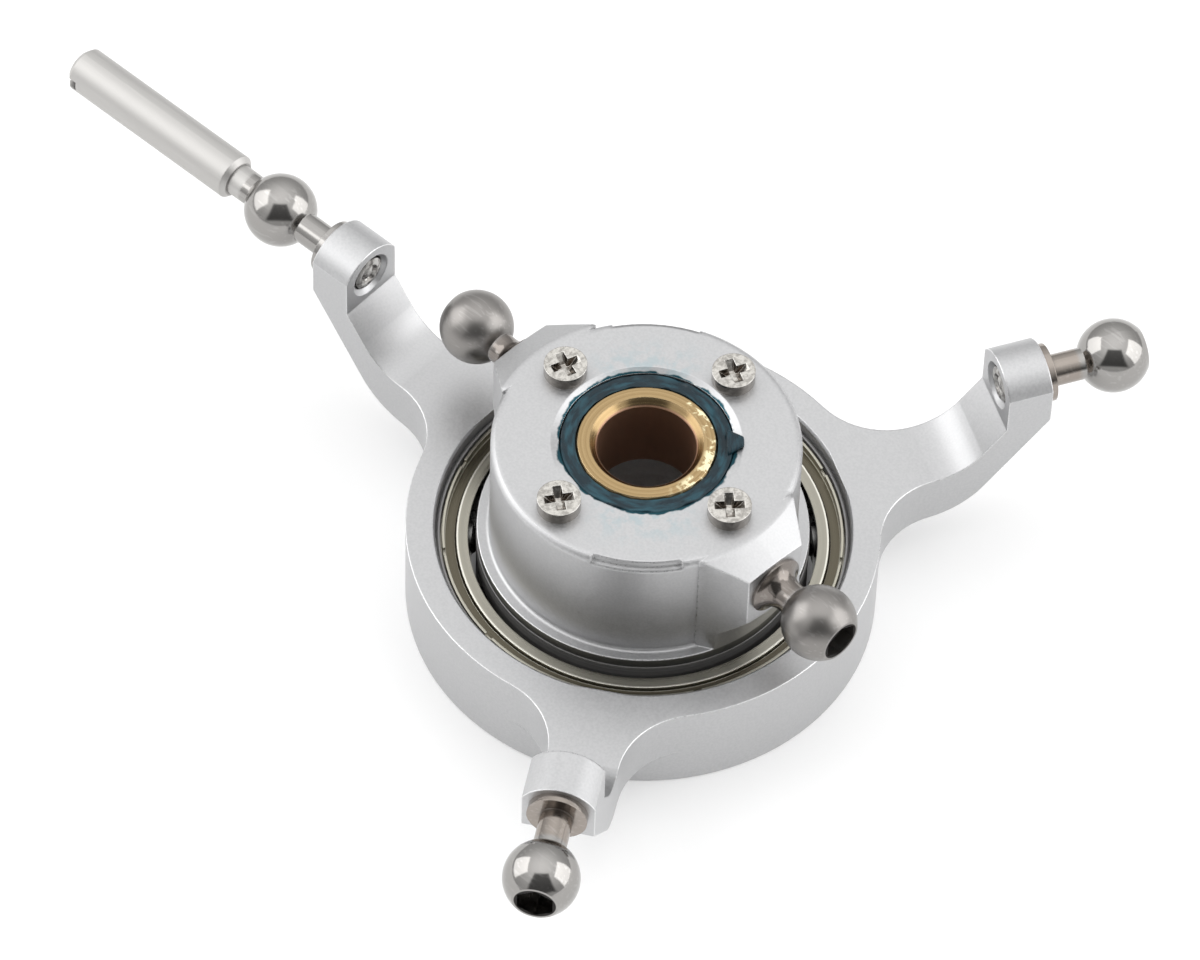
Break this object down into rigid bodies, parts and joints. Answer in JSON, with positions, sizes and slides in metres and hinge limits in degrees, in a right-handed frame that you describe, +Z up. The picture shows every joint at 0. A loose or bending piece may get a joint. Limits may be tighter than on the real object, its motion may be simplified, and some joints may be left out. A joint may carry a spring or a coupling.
{
  "type": "helicopter swashplate",
  "caption": "Helicopter swashplate: a hub with link balls spins on a shielded bearing in an armed plate with servo balls, both tilting on a brass pivot ball.",
  "frame": {"origin": "centre of the pivot ball, on the shaft axis and in the plane of the control balls", "axes": "+Z up the main shaft, -X along the anti-rotation pin"},
  "size_m": [0.0536, 0.047, 0.013],
  "materials": {
    "satin_aluminium": "satin, bead blasted and clear anodised",
    "polished_steel": "polished",
    "satin_steel": "satin",
    "bearing_steel": "ground",
    "shield_steel": "satin",
    "brass": "machined, worn at the edge",
    "nickel_plated_steel": "nickel plated",
    "seat_plastic": "plain, greased"
  },
  "bodies": {
    "plate": {"outer_plate": "satin_aluminium", "bearing_outer_race": "bearing_steel", "upper_shield": "shield_steel", "lower_shield": "shield_steel", "right_servo_stud": "polished_steel", "left_servo_stud": "polished_steel", "anti_rotation_stud": "polished_steel"},
    "hub": {"rotating_hub": "satin_aluminium", "lower_retainer": "satin_aluminium", "bearing_inner_race": "bearing_steel", "upper_ball_seat": "seat_plastic", "lower_ball_seat": "seat_plastic", "hub_screws": "nickel_plated_steel", "front_link_stud": "satin_steel", "rear_link_stud": "satin_steel"},
    "cage": {"bearing_balls": "bearing_steel", "cage_upper_half": "bearing_steel", "cage_lower_half": "bearing_steel", "cage_rivets": "bearing_steel"},
    "pivot": {"pivot_ball": "brass"}
  },
  "joints": [
    {"name": "hub_spin", "type": "hinge", "parent": "plate", "child": "hub", "pos_m": [0, 0, 0], "axis": [0, 0, 1], "continuous": true},
    {"name": "cage_spin", "type": "hinge", "parent": "plate", "child": "cage", "pos_m": [0, 0, 0], "axis": [0, 0, 1], "continuous": true},
    {"name": "ball_tilt", "type": "hinge", "parent": "hub", "child": "pivot", "pos_m": [0, 0, 0], "axis": [0.9957, -0.0924, 0], "range_deg": [-12, 12]}
  ],
  "couplings": [
    {"joint": "cage_spin", "follows": "hub_spin", "ratio": 0.4559}
  ]
}
